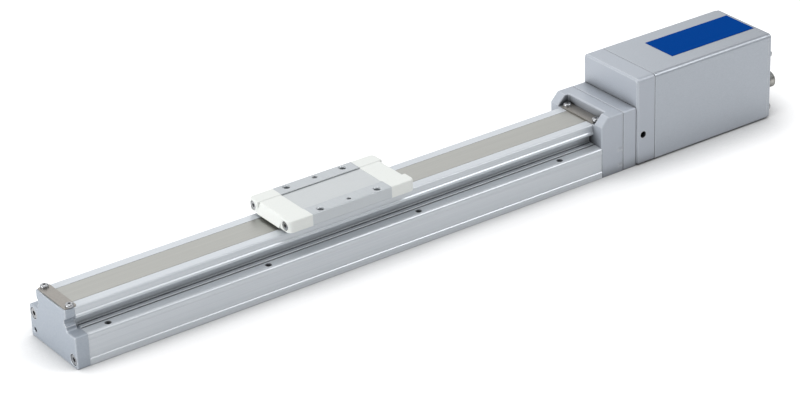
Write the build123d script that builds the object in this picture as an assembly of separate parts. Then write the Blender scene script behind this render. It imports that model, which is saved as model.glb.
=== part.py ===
from build123d import *
import os
from math import cos, radians

os.makedirs("parts", exist_ok=True)

# A ball-screw slider actuator: a slotted rail carries a table, a steel band closes the slot,
# and a bearing block, a coupling housing, a motor and its controller follow at one end.
# Millimetres. X runs along the stroke towards the motor, Y across to the back, Z up.
# The origin is on the base plane, in the middle of the outer body mounting holes.

# Body mounting holes, in the ledges
hole_pitch = 120.0
hole_row_spacing = 48.4
body_hole_diameter = 4.5
face_to_first_hole = 26.5
least_hole_to_rail_end = 10.0
base_pin_diameter = 3.0
base_pin_depth = 3.0
base_pins_beyond_stroke = 20.0
base_slot_length = 4.0

# Rail section
body_width = 58.0
base_pad_width = 14.0
base_relief_width = 36.0
base_relief = 0.5
foot_height = 4.6
shoulder_height = 18.9
side_recess = 0.5
ledge_height = 22.8
ledge_edge_radius = 2.3
ridge_height = 0.5
ridge_start = 1.6
ridge_width = 3.4
ridge_groove = 0.6
neck_width = 29.2
bead_height = 29.9
bead_thickness = 2.9
bead_reach = 1.0
head_width = 36.8
rail_height = 37.5
head_radius = 1.0
floor_thickness = 4.2
chamber_width = 38.4
chamber_top = 20.2
shaft_way_width = 23.0
lip_thickness = 2.3
slot_width = 17.4
magnet_width = 1.4
magnet_thickness = 1.2
hair_gap = 0.3
running_gap = 0.04

# Seal band and its stoppers
band_width = 21.2
band_thickness = 0.3
band_side_gap = 0.3
band_over_floor = 0.7
band_bend_radius = 9.0
stopper_length = 8.6
stopper_width = 34.4
stopper_thickness = 1.0
stopper_from_face = 0.8
stopper_screw_spacing = 31.6

# End plate
end_plate_length = 9.5
end_plate_head_length = 7.3
plate_screw_y = 24.4
plate_screw_low = 5.4
plate_screw_high = 17.4
notch_radius = 2.8
notch_height = 28.7
plate_edge_radius = 1.0
plate_face_chamfer = 0.5
ground_bore = 3.3
ground_depth = 8.0
ground_mouth = 0.6
spigot_length = 4.0
spigot_clearance = 0.3

# Motor end
bearing_block_length = 19.2
block_width = 57.2
block_height = 45.0
block_edge_radius = 1.6
pocket_length = 9.5
pocket_width = 40.0
cheek_front_height = 38.6
cheek_slope_length = 6.2
coupling_housing_length = 11.8
seam_chamfer = 0.5
block_front_rounding = 1.2
flange_front_chamfer = 1.2
flange_length = 16.0
motor_end_width = 59.5
motor_end_height = 66.3
motor_end_lift = 0.6
motor_end_radius = 3.0
cover_length = 105.7
cover_wall = 2.0
cover_floor = 1.2
rear_cover_thickness = 3.0
rear_cover_inset = 0.3
access_hole_diameter = 5.0
label_length = 76.5
label_width = 29.5
label_thickness = 0.25
label_from_rear = 0.4
label_shift = 0.8

# Drive
screw_axis_height = 23.0
screw_diameter = 8.0
end_journal_diameter = 5.0
end_bearing_diameter = 11.0
end_bearing_width = 4.0
fixed_journal_diameter = 6.0
fixed_bearing_diameter = 13.0
fixed_bearing_width = 5.0
chamber_diameter = 21.0
retainer_thickness = 2.2
coupling_diameter = 18.0
coupling_hub_length = 7.6
coupling_gap = 2.6
coupling_jaw_depth = 2.2
lock_nut_diameter = 13.0
nut_diameter = 15.0
nut_length = 18.0
nut_flange_width = 21.6
nut_flange_height = 18.0
nut_flange_thickness = 4.5
bumper_diameter = 20.0
bumper_bore = 12.0

# Guide
guide_width = 18.0
guide_height = 6.5
guide_screw_pitch = 40.0
guide_tap_bottom = 1.0
guide_counterbore = 3.4
guide_block_width = 35.0
guide_block_length = 30.0
guide_block_height = 10.0
guide_block_lift = 2.2
carriage_roof_gap = 0.5

# Table
stroke = 300.0
overtravel = 3.0
length_beyond_stroke = 120.5
face_to_first_table_middle = 61.0
table_block_length = 63.0
table_width = 48.4
table_over_stoppers = 0.9
table_thickness = 8.2
cap_length = 18.6
cap_slope_top = 16.5
cap_lip = 19.7
cap_step = 0.45
strip_step = 0.8
strip_width = 11.1
cap_corner_radius = 3.4
cap_screw_y = 19.0
cap_screw_below_middle = 0.3
table_hole_spacing_x = 45.0
table_hole_spacing_y = 40.0
table_thread_bore = 4.2
table_thread_floor = 1.4
table_thread_mouth = 0.8
table_pin_diameter = 3.0
table_pin_depth = 4.0
table_slot_length = 4.0
panel_thickness = 1.5
panel_side_gap = 0.45
band_way_width = 23.0
table_floor = 2.3
carriage_left = 40.0
carriage_right = 32.0
carriage_top_length = 58.0

# Motor and electronics
motor_width = 42.0
motor_length = 48.0
motor_bell_length = 8.0
motor_pilot_diameter = 22.0
motor_pilot_height = 2.0
motor_screw_spacing = 31.0
motor_shaft_diameter = 5.0
rotor_diameter = 25.0
board_height = 54.0
board_thickness = 1.6
board_length = 92.0
board_width = 44.0
capacitor_diameter = 8.0
capacitor_height = 7.0
capacitor_pitch = 10.0
driver_chip_size = 20.0
driver_chip_height = 3.0
socket_width = 16.0
socket_height = 9.0
connector_diameter = 12.0
connector_reach = 10.0
connector_from_side = 11.25
connector_height = 24.5

# Screw places
tie_screw_from_side = 3.75
tie_screw_from_top = 16.7
tie_screw_low = 8.0
tie_screw_hole = 3.4
tie_boss_diameter = 6.0
housing_screw_from_side = 6.8
housing_screw_from_top = 6.6
housing_screw_low = 6.4
housing_screw_low_y = 6.0
nut_screw_y = 8.7
nut_screw_rise = 5.8
guide_block_screw_from_end = 6.0
guide_block_screw_from_side = 3.4
carriage_screw_from_end = 6.0
carriage_screw_from_side = 3.4

# Screws: how far each kind bites into its thread, and the pockets that hide cap screw heads
m3_pocket = 3.4
m4_pocket = 4.4
tap_spare = 1.0
end_plate_screw_bite = 11.0
rail_screw_bite = 15.0
housing_screw_bite = 8.5
motor_screw_bite = 5.0
tie_screw_bite = 9.0
retainer_screw_bite = 2.8
nut_screw_bite = 5.0
guide_block_screw_bite = 4.5
carriage_screw_bite = 6.0
cap_screw_bite = 7.0
stopper_screw_bite = 5.0

# Metric cap screws: head diameter, head height, socket across flats
SCREW_HEADS = {2.0: (3.8, 2.0, 1.5), 2.5: (4.5, 2.5, 2.0), 3.0: (5.5, 3.0, 2.5), 4.0: (7.0, 4.0, 3.0)}

# Places along X that the pieces share
rail_and_plate_length = stroke + length_beyond_stroke
holes_per_side = 1 + int((rail_and_plate_length - face_to_first_hole - least_hole_to_rail_end) / hole_pitch)
hole_span = hole_pitch * (holes_per_side - 1)
x_face = -hole_span / 2 - face_to_first_hole
x_plate = x_face + end_plate_length
x_lap = x_face + end_plate_head_length
x_rail_end = x_face + rail_and_plate_length
x_block_end = x_rail_end + bearing_block_length
x_housing_end = x_block_end + coupling_housing_length
x_flange_end = x_housing_end + flange_length
x_cover_end = x_flange_end + cover_length
x_rear = x_cover_end + rear_cover_thickness
travel = stroke / 2 + overtravel
table_rest = x_face + face_to_first_table_middle + travel
base_pin_spacing = stroke + base_pins_beyond_stroke

# Heights and half widths that the pieces share
half_body = body_width / 2
half_head = head_width / 2
half_neck = neck_width / 2
half_way = shaft_way_width / 2
half_slot = slot_width / 2
half_recess = band_width / 2 + band_side_gap
connector_y = motor_end_width / 2 - connector_from_side
tie_screw_y = motor_end_width / 2 - tie_screw_from_side
housing_screw_y = block_width / 2 - housing_screw_from_side
recess_floor = rail_height - band_thickness
way_top = rail_height - band_thickness - lip_thickness
guide_top = floor_thickness + guide_height
block_top = floor_thickness + guide_block_height
axis = screw_axis_height
tie_screw_high = motor_end_height - tie_screw_from_top
housing_screw_high = block_height - housing_screw_from_top
carriage_shoulder = chamber_top - carriage_roof_gap
table_bottom = rail_height + stopper_thickness + table_over_stoppers
table_height = table_bottom + table_thickness
cap_screw_height = table_bottom + table_thickness / 2 - cap_screw_below_middle
band_lift = table_bottom + table_floor + band_over_floor - recess_floor


def block(x0, x1, y0, y1, z0, z1):
    """Box between two opposite corners."""
    return Pos((x0 + x1) / 2, (y0 + y1) / 2, (z0 + z1) / 2) * Box(x1 - x0, y1 - y0, z1 - z0)


def rod_x(x0, x1, diameter, y=0.0, z=0.0):
    """Cylinder along X."""
    return Pos((x0 + x1) / 2, y, z) * Rot(0, 90, 0) * Cylinder(diameter / 2, x1 - x0)


def rod_z(x, y, z0, z1, diameter):
    """Cylinder along Z."""
    return Pos(x, y, (z0 + z1) / 2) * Cylinder(diameter / 2, z1 - z0)


def outline(corners):
    """Closed face through corners, each given as two coordinates and a rounding radius."""
    points = [(a, b) for a, b, _ in corners]
    radii = [radius for _, _, radius in corners]
    return make_face(FilletPolyline(*points, radius=radii, close=True).edges())


def both_sides(right_half):
    """Closed face from its right half, listed from the bottom up, and the mirrored left half."""
    left_half = [(-a, b, radius) for a, b, radius in reversed(right_half)]
    return outline(right_half + left_half)


def prism_x(section, x0, x1):
    """A section drawn across the rail, in Y and Z, carried from x0 to x1."""
    return Pos(x0, 0, 0) * extrude(Plane.YZ * section, amount=x1 - x0)


def prism_y(section, half_length):
    """A section drawn in X and Z, carried to both sides of the middle plane."""
    return extrude(Plane.XZ * section, amount=half_length, both=True)


def hexagon(across_flats, depth):
    """Six-sided prism that ends at Z zero and reaches down."""
    return extrude(RegularPolygon(across_flats / 2 / cos(radians(30)), 6), amount=-depth)


def cap_screw(size, length):
    """Socket head screw along Z: its seat is at Z zero, its head is above."""
    head, height, flats = SCREW_HEADS[size]
    body = Pos(0, 0, height / 2) * Cylinder(head / 2, height)
    body += Pos(0, 0, -length / 2) * Cylinder(size / 2, length)
    return body - Pos(0, 0, height) * hexagon(flats, height * 0.55)


def button_screw(size, length, head, height):
    """Round head screw along Z with a hexagon socket."""
    dome = Pos(0, 0, height / 2) * Cylinder(head / 2, height)
    dome = fillet(dome.edges().group_by(Axis.Z)[-1], height * 0.6)
    body = dome + Pos(0, 0, -length / 2) * Cylinder(size / 2, length)
    return body - Pos(0, 0, height) * hexagon(SCREW_HEADS[size][2] * 0.8, height * 0.6)


def flat_screw(size, length):
    """Countersunk screw along Z: the top of its head is at Z zero."""
    head = size * 1.85
    sink = (head - size) / 2
    body = Pos(0, 0, -sink / 2) * Cone(size / 2, head / 2, sink)
    body += Pos(0, 0, -(length + sink) / 2) * Cylinder(size / 2, length - sink)
    return body - hexagon(SCREW_HEADS[size][2] * 0.8, sink * 0.8)


def flat_screw_hole(size, depth):
    """The hole that a countersunk screw fills, with its cone at the top."""
    head = size * 1.85
    sink = (head - size) / 2
    return Pos(0, 0, -sink / 2) * Cone(size / 2, head / 2, sink) + Pos(0, 0, -depth / 2) * Cylinder(
        size / 2, depth
    )


def facing(direction, x, y, z):
    """Place for a screw whose head looks along a direction."""
    turns = {"-X": Rot(0, -90, 0), "+X": Rot(0, 90, 0), "+Z": Rot(0, 0, 0), "-Y": Rot(90, 0, 0)}
    return Pos(x, y, z) * turns[direction]


def counterbore_x(size, seat, y, z, towards, through):
    """Clearance hole along X with a pocket for a cap screw's head, cut from the seat to towards."""
    head = SCREW_HEADS[size][0]
    pocket = rod_x(min(seat, towards), max(seat, towards), head + 1.0, y, z)
    return pocket + rod_x(min(seat, through), max(seat, through), size + 0.3, y, z)


def slot_z(x, y, z0, z1, width, length):
    """Slot along X with round ends, cut along Z."""
    return Pos(x, y, z0) * extrude(SlotOverall(length, width), amount=z1 - z0)


def save(node, *shapes):
    """Write one node, as one solid or as a group of separate solids."""
    solids = [solid for shape in shapes for solid in shape.solids()]
    export_step(solids[0] if len(solids) == 1 else Compound(solids), f"parts/{node}.step")


# Rail

def rail_section():
    """Slotted section of the extrusion, with its chamber for the guide and the screw."""
    ridge_inner = half_neck + ridge_start
    ridge_outer = ridge_inner + ridge_width
    ridge_top = ledge_height + ridge_height
    side = half_body - side_recess
    right_half = [
        (base_pad_width / 2, 0, 0),
        (base_pad_width / 2, base_relief, 0),
        (base_relief_width / 2, base_relief, 0),
        (base_relief_width / 2, 0, 0),
        (half_body, 0, 0.6),
        (half_body, foot_height, 0.2),
        (side, foot_height + side_recess, 0),
        (side, shoulder_height - side_recess, 0),
        (half_body, shoulder_height, 0.2),
        (half_body, ledge_height, ledge_edge_radius),
        (ridge_outer + 2 * ridge_groove, ledge_height, 0),
        (ridge_outer + 2 * ridge_groove, ledge_height - ridge_height, 0),
        (ridge_outer, ledge_height - ridge_height, 0),
        (ridge_outer, ridge_top, 0.4),
        (ridge_inner, ridge_top, 0.4),
        (ridge_inner, ledge_height - ridge_height, 0),
        (ridge_inner - ridge_groove, ledge_height - ridge_height, 0),
        (ridge_inner - ridge_groove, ridge_top, 0),
        (half_neck, ridge_top, 0.6),
        (half_neck, bead_height - 2.0, 1.2),
        (half_head - 1.2, bead_height, 0),
        (half_head + bead_reach, bead_height, bead_reach),
        (half_head + bead_reach, bead_height + bead_thickness - bead_reach, bead_reach),
        (half_head, bead_height + bead_thickness, 0.4),
        (half_head, rail_height, head_radius),
        (half_recess, rail_height, 0),
        (half_recess, recess_floor, 0),
        (half_slot, recess_floor, 0),
        (half_slot, way_top, 0),
        (half_way, way_top, 0.8),
        (half_way, chamber_top, 0.6),
        (chamber_width / 2, chamber_top, 1.5),
        (chamber_width / 2, floor_thickness, 1.5),
    ]
    return both_sides(right_half)


def hole_places():
    """Centres of the body mounting holes."""
    first = -hole_span / 2
    rows = (-hole_row_spacing / 2, hole_row_spacing / 2)
    return [(first + n * hole_pitch, y) for n in range(holes_per_side) for y in rows]


def end_screw_places():
    """Centres of the screws that enter the rail's ends, seen along X."""
    return [(y, z) for y in (-plate_screw_y, plate_screw_y) for z in (plate_screw_low, plate_screw_high)]


def plate_screw_places():
    """The two screws of the end plate, on a diagonal, seen along X."""
    return [(-plate_screw_y, plate_screw_low), (plate_screw_y, plate_screw_high)]


def magnet_places():
    """Inner and outer edge of the magnet strip on each side of the slot."""
    outer = band_width / 2 - hair_gap
    return [(outer - magnet_width, outer), (-outer, -outer + magnet_width)]


def make_rail():
    rail = prism_x(rail_section(), x_lap, x_rail_end)
    rail -= block(x_lap - 1, x_plate, -half_body - 1, half_body + 1, -1, ledge_height + ridge_height + 0.1)
    for x, y in hole_places():
        rail -= rod_z(x, y, -1, ledge_height + 2, body_hole_diameter)
    for y, z in end_screw_places():
        rail -= rod_x(x_rail_end - rail_screw_bite - tap_spare, x_rail_end + 1, 4.0, y, z)
    for y, z in plate_screw_places():
        rail -= rod_x(x_plate - 1, x_plate + end_plate_screw_bite + tap_spare, 4.0, y, z)
    for y0, y1 in magnet_places():
        rail -= block(x_lap - 1, x_rail_end + 1, y0, y1, recess_floor - magnet_thickness, recess_floor + 0.01)
    rail -= rod_z(base_pin_spacing / 2, 0, -1, base_pin_depth, base_pin_diameter)
    rail -= slot_z(-base_pin_spacing / 2, 0, -1, base_pin_depth, base_pin_diameter, base_slot_length)
    for x in guide_screw_places():
        rail -= rod_z(x, 0, guide_tap_bottom, floor_thickness + 1, 3.0)
    return rail


def make_magnet_strips():
    z1 = recess_floor
    return [block(x_lap, x_rail_end, y0, y1, z1 - magnet_thickness, z1) for y0, y1 in magnet_places()]


# Guide rail and its screws

x_guide_start = x_plate + spigot_length + 3.0
x_guide_end = x_rail_end - spigot_length - 3.0


def guide_screw_places():
    """Screw places along the guide rail, evenly spread about its middle."""
    length = x_guide_end - x_guide_start
    count = int((length - 12.0) / guide_screw_pitch) + 1
    middle = (x_guide_start + x_guide_end) / 2
    return [middle + (n - (count - 1) / 2) * guide_screw_pitch for n in range(count)]


def guide_section():
    """Wide guide rail with a ball groove in each side."""
    half = guide_width / 2
    groove = 1.0
    middle = floor_thickness + guide_height * 0.66
    right_half = [
        (half - 1.0, floor_thickness, 0),
        (half - 1.0, middle - 2.6, 0.4),
        (half, middle - 1.6, 0.2),
        (half, middle - groove, 0),
        (half - groove, middle, 0.5),
        (half, middle + groove, 0),
        (half, guide_top, 0.5),
    ]
    return both_sides(right_half)


def make_guide_rail():
    guide = prism_x(guide_section(), x_guide_start, x_guide_end)
    for x in guide_screw_places():
        guide -= rod_z(x, 0, floor_thickness - 1, guide_top + 1, 3.3)
        guide -= rod_z(x, 0, guide_top - guide_counterbore, guide_top + 1, 6.0)
    return guide


def make_guide_screws():
    seat = guide_top - guide_counterbore
    length = seat - guide_tap_bottom - 0.2
    return [facing("+Z", x, 0, seat) * cap_screw(3.0, length) for x in guide_screw_places()]


# End plate with its bearing and screws

def spigot_section(clearance):
    """Section that fills the mouth of the rail's shaft way."""
    half = half_way - clearance
    return both_sides([
        (half, chamber_top - 12.0, 1.0),
        (half, way_top - clearance, 1.0),
    ])


def make_end_plate():
    base = both_sides([(half_body, 0, plate_edge_radius), (half_body, ledge_height, plate_edge_radius)])
    full = both_sides([
        (half_body, 0, plate_edge_radius),
        (half_body, ledge_height, plate_edge_radius),
        (half_head, ledge_height, 1.8),
        (half_head, rail_height, 0.8),
    ])
    plate = prism_x(full, x_face, x_lap)
    outer_edges = plate.faces().sort_by(Axis.X)[0].edges()
    plate = chamfer(outer_edges, plate_face_chamfer)
    for y in (-half_head - 0.5, half_head + 0.5):
        plate -= rod_x(x_face - 1, x_lap + 1, 2 * notch_radius, y, notch_height)
    plate += prism_x(base, x_lap - 0.01, x_plate)
    plate += prism_x(spigot_section(spigot_clearance), x_lap - 0.01, x_plate + spigot_length)
    plate -= block(x_face - 1, x_lap + 1, -half_recess, half_recess, recess_floor, rail_height + 1)
    for y, z in plate_screw_places():
        plate -= counterbore_x(4.0, x_face + m4_pocket, y, z, x_face - 1, x_plate + 1)
    plate -= rod_x(x_face - 1, x_face + ground_depth, ground_bore, plate_screw_y, plate_screw_low)
    mouth = Pos(x_face + ground_mouth / 2, plate_screw_y, plate_screw_low) * Rot(0, 90, 0)
    plate -= mouth * Cone(ground_bore / 2 + ground_mouth, ground_bore / 2, ground_mouth)
    for y in (-stopper_screw_spacing / 2, stopper_screw_spacing / 2):
        plate -= rod_z(x_stopper_left + stopper_length / 2, y, stopper_tap_bottom, rail_height + 1, 3.0)
    bore_end = x_plate + spigot_length
    plate -= rod_x(bore_end - end_bearing_width - 1.0, bore_end + 1, end_bearing_diameter, 0, axis)
    plate -= rod_x(bore_end - end_bearing_width - 3.0, bore_end, end_journal_diameter + 2, 0, axis)
    return plate


def make_end_plate_screws():
    length = end_plate_length - m4_pocket + end_plate_screw_bite
    screw = cap_screw(4.0, length)
    return [facing("-X", x_face + m4_pocket, y, z) * screw for y, z in plate_screw_places()]


def bearing_ring(x0, x1, outer, journal):
    """A closed bearing shown as one ring with recessed side shields."""
    ring = rod_x(x0, x1, outer, 0, axis) - rod_x(x0 - 1, x1 + 1, journal + 2 * running_gap, 0, axis)
    groove_outer = outer - (outer - journal) * 0.25
    groove_inner = journal + (outer - journal) * 0.35
    for start, end in ((x0 - 1, x0 + 0.4), (x1 - 0.4, x1 + 1)):
        ring -= rod_x(start, end, groove_outer, 0, axis) - rod_x(start, end, groove_inner, 0, axis)
    return ring


def make_end_bearing():
    x1 = x_plate + spigot_length - 1.0
    return bearing_ring(x1 - end_bearing_width, x1, end_bearing_diameter, end_journal_diameter)


# Seal band with its stoppers

x_stopper_left = x_face + stopper_from_face
x_stopper_right = x_rail_end + pocket_length - hair_gap - stopper_length
stopper_tap_bottom = rail_height - stopper_screw_bite - tap_spare


def stopper_screw_places():
    """Centres of the stopper screws."""
    half = stopper_screw_spacing / 2
    starts = (x_stopper_left, x_stopper_right)
    return [(x + stopper_length / 2, y) for x in starts for y in (-half, half)]


def make_seal_band():
    """The band lies in the rail's top and rises over the carriage inside the table."""
    low = recess_floor + band_thickness / 2
    high = low + band_lift
    foot = table_block_length / 2 + cap_length - 5.5
    crest = table_block_length / 2 + 2.4
    path = FilletPolyline(
        (x_stopper_left + hair_gap, 0, low),
        (table_rest - foot, 0, low),
        (table_rest - crest, 0, high),
        (table_rest + crest, 0, high),
        (table_rest + foot, 0, low),
        (x_stopper_right + stopper_length - hair_gap, 0, low),
        radius=band_bend_radius,
    )
    start = Plane(origin=path @ 0, x_dir=(0, 1, 0), z_dir=path % 0)
    return sweep(start * Rectangle(band_width, band_thickness), path=path)


def make_stopper(x_start):
    plate = block(
        x_start, x_start + stopper_length, -stopper_width / 2, stopper_width / 2,
        rail_height, rail_height + stopper_thickness,
    )
    plate = fillet(plate.edges().filter_by(Axis.Z), 0.9)
    for y in (-stopper_screw_spacing / 2, stopper_screw_spacing / 2):
        plate -= rod_z(x_start + stopper_length / 2, y, rail_height - 1, rail_height + 3, 3.0)
    return plate


def make_stopper_screws():
    seat = rail_height + stopper_thickness
    screw = button_screw(3.0, stopper_thickness + stopper_screw_bite, 5.6, 1.9)
    return [facing("+Z", x, y, seat) * screw for x, y in stopper_screw_places()]


# Bearing block

def make_bearing_block():
    """Block with a pocket between two cheeks whose front corners slope up to the top."""
    half = block_width / 2
    side = outline([
        (x_rail_end, 0, 0),
        (x_block_end, 0, 0),
        (x_block_end, block_height, 0),
        (x_rail_end + cheek_slope_length, block_height, 0),
        (x_rail_end, cheek_front_height, 0),
    ])
    body = prism_y(side, half)
    outer = body.edges().filter_by(
        lambda edge: abs(edge.center().Y) > half - 0.1
        and edge.center().Z > 1.0
        and edge.center().X < x_block_end - 1.0
    )
    body = fillet(outer, block_front_rounding)
    x_wall = x_rail_end + pocket_length
    half_pocket = pocket_width / 2
    pocket = block(x_rail_end - 1, x_wall, -half_pocket, half_pocket, rail_height, block_height + 1)
    pocket = fillet(pocket.edges().filter_by(Axis.Z).group_by(Axis.X)[-1], 1.2)
    body -= pocket
    ramp = body.edges().filter_by(
        lambda edge: abs(edge.center().X - x_rail_end - cheek_slope_length / 2) < 0.8
        and abs(edge.center().Y) < half_pocket + 0.1
        and edge.center().Z > cheek_front_height + 1
    )
    body = chamfer(ramp, 0.6)
    rim = body.edges().filter_by(Axis.Y).filter_by(
        lambda edge: abs(edge.center().X - x_wall) < 0.1 and edge.center().Z > block_height - 0.5
    )
    body = chamfer(rim, 0.7)
    seam = body.faces().sort_by(Axis.X)[-1].edges()
    body = chamfer(seam, seam_chamfer)
    body -= block(x_rail_end - 1, x_wall - 0.2, -half_recess, half_recess, recess_floor, rail_height + 0.1)
    body += prism_x(spigot_section(spigot_clearance), x_rail_end - spigot_length, x_rail_end + 0.01)
    bearing_seat = x_block_end - 2 * fixed_bearing_width
    body -= rod_x(bearing_seat, x_block_end + 1, fixed_bearing_diameter, 0, axis)
    body -= rod_x(x_rail_end - spigot_length - 1, bearing_seat + 1, screw_diameter + 2, 0, axis)
    for y, z in end_screw_places():
        body -= counterbore_x(4.0, x_block_end - m4_pocket, y, z, x_block_end + 1, x_rail_end - 1)
    for y, z in housing_screw_places():
        body -= rod_x(x_block_end - housing_screw_bite - tap_spare, x_block_end + 1, 4.0, y, z)
    for y, z in retainer_screw_places():
        body -= rod_x(x_block_end - retainer_screw_bite - tap_spare, x_block_end + 1, 2.0, y, z)
    for x, y in stopper_screw_places()[2:]:
        body -= rod_z(x, y, stopper_tap_bottom, rail_height + 0.1, 3.0)
    return body


def housing_screw_places():
    """Screws that hold the motor flange and the coupling housing to the bearing block."""
    high = [(y, housing_screw_high) for y in (-housing_screw_y, housing_screw_y)]
    low = [(y, housing_screw_low) for y in (-housing_screw_low_y, housing_screw_low_y)]
    return high + low


def retainer_screw_places():
    """Three small screws round the fixed bearings."""
    radius = fixed_bearing_diameter / 2 + 1.7
    return [(radius * cos(radians(a)), axis + radius * cos(radians(a - 90))) for a in (90, 210, 330)]


def make_rail_screws():
    seat = x_block_end - m4_pocket
    screw = cap_screw(4.0, seat - x_rail_end + rail_screw_bite)
    return [facing("+X", seat, y, z) * screw for y, z in end_screw_places()]


def make_fixed_bearings():
    first = x_block_end - 2 * fixed_bearing_width
    middle = x_block_end - fixed_bearing_width
    rings = ((first, middle), (middle, x_block_end))
    return [bearing_ring(a, b, fixed_bearing_diameter, fixed_journal_diameter) for a, b in rings]


def make_retainer():
    x1 = x_block_end + retainer_thickness
    ring = rod_x(x_block_end, x1, chamber_diameter - 2 * hair_gap, 0, axis)
    ring -= rod_x(x_block_end - 1, x1 + 1, fixed_journal_diameter + 4, 0, axis)
    for y, z in retainer_screw_places():
        ring -= rod_x(x_block_end - 1, x1 + 1, 2.0, y, z)
    return ring


def make_retainer_screws():
    seat = x_block_end + retainer_thickness
    screw = cap_screw(2.0, retainer_thickness + retainer_screw_bite)
    screw = screw - Pos(0, 0, 2.5) * Box(10, 10, 3.0)
    return [facing("+X", seat, y, z) * screw for y, z in retainer_screw_places()]


# Coupling housing and motor flange

def make_coupling_housing():
    half = block_width / 2
    body = prism_x(
        both_sides([(half, 0, 0.6), (half, block_height, block_edge_radius)]), x_block_end, x_housing_end
    )
    body = chamfer(body.faces().sort_by(Axis.X)[0].edges(), seam_chamfer)
    body = chamfer(body.faces().sort_by(Axis.X)[-1].edges(), seam_chamfer)
    body -= rod_x(x_block_end - 1, x_housing_end + 1, chamber_diameter, 0, axis)
    for y, z in housing_screw_places():
        body -= rod_x(x_block_end - 1, x_housing_end + 1, 4.3, y, z)
    return body


def motor_end_section(inset, radius=motor_end_radius, floor=None):
    """Rounded outline shared by the motor flange, the cover and the rear cover."""
    half = motor_end_width / 2 - inset
    bottom = inset if floor is None else floor
    return both_sides([
        (half, motor_end_lift + bottom, radius * 0.5),
        (half, motor_end_height - inset, radius),
    ])


def motor_screw_places():
    """The motor's four screws, seen along X."""
    half = motor_screw_spacing / 2
    return [(y, axis + z) for y in (-half, half) for z in (-half, half)]


x_clamp_screw = x_block_end + retainer_thickness + 1.0 + coupling_hub_length * 1.5 + coupling_gap


def tie_screw_places():
    """The long screws that hold the rear cover, the cover and the flange together, seen along X."""
    return [(y, z) for y in (-tie_screw_y, tie_screw_y) for z in (tie_screw_low, tie_screw_high)]


def make_motor_flange():
    body = prism_x(motor_end_section(0), x_housing_end, x_flange_end)
    front = body.faces().sort_by(Axis.X)[0].edges()
    body = chamfer(front, flange_front_chamfer)
    body = chamfer(body.faces().sort_by(Axis.X)[-1].edges(), seam_chamfer)
    body -= rod_x(x_housing_end - 1, x_flange_end + 1, chamber_diameter, 0, axis)
    body -= rod_x(x_flange_end - motor_pilot_height, x_flange_end + 1, motor_pilot_diameter + 0.1, 0, axis)
    body -= Pos(x_clamp_screw, -motor_end_width / 4, axis) * Rot(90, 0, 0) * Cylinder(
        access_hole_diameter / 2, motor_end_width / 2 + 1
    )
    for y, z in housing_screw_places():
        body -= counterbore_x(4.0, x_flange_end - m4_pocket, y, z, x_flange_end + 1, x_housing_end - 1)
    for y, z in motor_screw_places():
        body -= counterbore_x(3.0, x_housing_end + m3_pocket, y, z, x_housing_end - 1, x_flange_end + 1)
    for y, z in tie_screw_places():
        body -= rod_x(x_flange_end - tie_screw_bite - tap_spare, x_flange_end + 1, 3.0, y, z)
    return body


def make_housing_screws():
    seat = x_flange_end - m4_pocket
    length = seat - x_block_end + housing_screw_bite
    return [facing("+X", seat, y, z) * cap_screw(4.0, length) for y, z in housing_screw_places()]


def make_motor_screws():
    seat = x_housing_end + m3_pocket
    length = x_flange_end - seat + motor_screw_bite
    return [facing("-X", seat, y, z) * cap_screw(3.0, length) for y, z in motor_screw_places()]


# Cover, rear cover and what they carry

def make_cover():
    body = prism_x(motor_end_section(0), x_flange_end, x_cover_end)
    body -= prism_x(motor_end_section(cover_wall, 1.0, cover_floor), x_flange_end - 1, x_cover_end + 1)
    for y, z in tie_screw_places():
        side = 1 if y > 0 else -1
        wall = side * (motor_end_width / 2 - cover_wall / 2)
        boss = rod_x(x_flange_end, x_cover_end, tie_boss_diameter, y, z)
        reach = tie_boss_diameter / 2
        web = block(x_flange_end, x_cover_end, min(y, wall), max(y, wall), z - reach, z + reach)
        if z == tie_screw_low:
            web += block(x_flange_end, x_cover_end, y - reach, y + reach, motor_end_lift + 1.0, z)
        body += boss + web & prism_x(motor_end_section(cover_wall / 2, 2.0), x_flange_end, x_cover_end)
    body = chamfer(body.faces().sort_by(Axis.X)[0].outer_wire().edges(), seam_chamfer)
    for y, z in tie_screw_places():
        body -= rod_x(x_flange_end - 1, x_cover_end + 1, tie_screw_hole, y, z)
    return body


def connector_places():
    """Power connector at the front of the rear face, signal connector behind it."""
    return [(-connector_y, connector_height), (connector_y, connector_height)]


def make_rear_cover():
    body = prism_x(motor_end_section(rear_cover_inset), x_cover_end, x_rear)
    body = fillet(body.faces().sort_by(Axis.X)[-1].edges(), 1.0)
    inside = motor_end_section(cover_wall + hair_gap, 0.8, cover_floor + hair_gap)
    body += prism_x(inside, x_cover_end - 2.0, x_cover_end + 0.01)
    body -= prism_x(motor_end_section(cover_wall + 2.0, 0.6), x_cover_end - 3.0, x_cover_end)
    room = tie_boss_diameter / 2 + hair_gap
    for y, z in tie_screw_places():
        body -= rod_x(x_cover_end - 4, x_cover_end, tie_boss_diameter + 2 * hair_gap, y, z)
        side = 1 if y > 0 else -1
        edge = side * motor_end_width / 2
        body -= block(x_cover_end - 4, x_cover_end, min(y, edge), max(y, edge), z - room, z + room)
        body -= rod_x(x_cover_end - 4, x_rear + 1, tie_screw_hole, y, z)
    body -= block(
        x_cover_end - 4, x_cover_end, -motor_end_width, motor_end_width, 0, tie_screw_low + room
    )
    for y, z in connector_places():
        body -= rod_x(x_cover_end - 4, x_rear + 1, connector_diameter - 1.0, y, z)
    return body


def make_tie_screws():
    length = x_rear - x_flange_end + tie_screw_bite
    screw = button_screw(3.0, length, 5.6, 2.0)
    return [facing("+X", x_rear, y, z) * screw for y, z in tie_screw_places()]


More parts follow.
